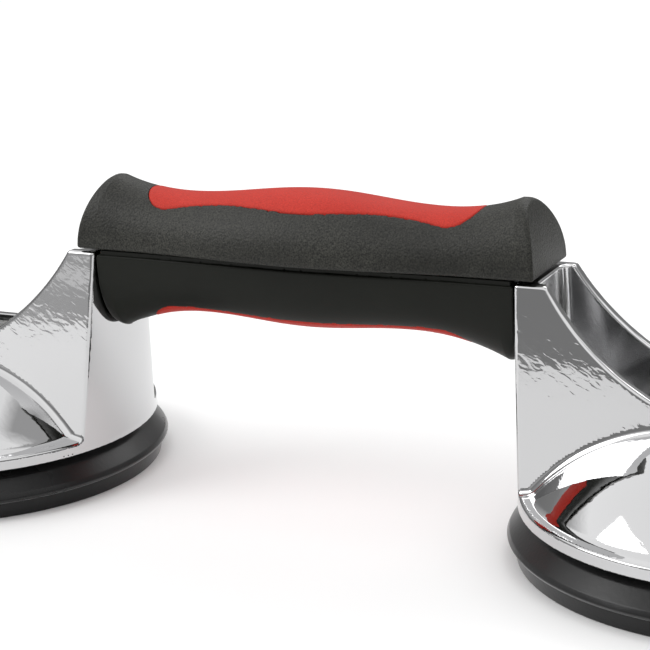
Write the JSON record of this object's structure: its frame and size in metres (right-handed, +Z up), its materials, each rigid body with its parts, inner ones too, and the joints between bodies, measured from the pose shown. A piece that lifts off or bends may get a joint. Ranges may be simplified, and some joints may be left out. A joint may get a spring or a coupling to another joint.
{
  "type": "twin-cup vacuum lifter",
  "caption": "Twin-cup vacuum lifter: chromed round heads with flip levers pull rubber suction cups onto glass or sheet, joined by a black and red carrying handle.",
  "frame": {"origin": "on the working surface, half way between the two cup centres", "axes": "+X along the handle, +Y across it, +Z up, away from the surface that the cups grip"},
  "size_m": [0.348, 0.118, 0.0873],
  "materials": {
    "chromed_casting": "bright chrome plate over a die casting, slight orange peel and fine pits",
    "black_grip": "moulded black plastic with a fine spark-eroded grain",
    "red_soft": "matte soft-touch overmould",
    "lever_nylon": "satin moulded nylon",
    "black_rubber": "smooth moulded rubber with a soft sheen",
    "steel": "turned zinc-plated steel",
    "dark_steel": "blackened steel",
    "spring_steel": "drawn spring wire",
    "bush_nylon": "natural nylon",
    "cast_core": "as-cast aluminium"
  },
  "bodies": {
    "root": {"handle_core": "cast_core", "upper_grip": "black_grip", "upper_grip_insert": "red_soft", "lower_grip": "black_grip", "lower_grip_insert": "red_soft", "grip_screws": "steel", "left_head_housing": "chromed_casting", "left_bracket_bolts": "dark_steel", "left_guide_bush": "bush_nylon", "left_wear_plate": "steel", "left_rubber_cup": "black_rubber", "left_return_spring": "spring_steel", "right_head_housing": "chromed_casting", "right_bracket_bolts": "dark_steel", "right_guide_bush": "bush_nylon", "right_wear_plate": "steel", "right_rubber_cup": "black_rubber", "right_return_spring": "spring_steel"},
    "left_draw_stem": {"left_stem": "steel", "left_core_plate": "steel"},
    "left_flip_lever": {"left_lever": "lever_nylon", "left_lever_pin": "steel", "left_pin_clip": "dark_steel"},
    "right_draw_stem": {"right_stem": "steel", "right_core_plate": "steel"},
    "right_flip_lever": {"right_lever": "lever_nylon", "right_lever_pin": "steel", "right_pin_clip": "dark_steel"}
  },
  "joints": [
    {"name": "left_stem_slide", "type": "slide", "parent": "root", "child": "left_draw_stem", "axis": [0, 0, 1], "range_m": [-0.0045, 0], "deforming": ["left_return_spring", "left_rubber_cup"]},
    {"name": "left_lever_hinge", "type": "hinge", "parent": "left_draw_stem", "child": "left_flip_lever", "pos_m": [-0.115, 0, 0.0503], "axis": [0, 1, 0], "range_deg": [0, 100]},
    {"name": "right_stem_slide", "type": "slide", "parent": "root", "child": "right_draw_stem", "axis": [0, 0, 1], "range_m": [-0.0045, 0], "deforming": ["right_return_spring", "right_rubber_cup"]},
    {"name": "right_lever_hinge", "type": "hinge", "parent": "right_draw_stem", "child": "right_flip_lever", "pos_m": [0.115, 0, 0.0503], "axis": [0, -1, 0], "range_deg": [0, 100]}
  ],
  "couplings": [
    {"joint": "left_stem_slide", "follows": "left_lever_hinge", "m_per_rad": -0.002578},
    {"joint": "right_stem_slide", "follows": "right_lever_hinge", "m_per_rad": -0.002578}
  ]
}
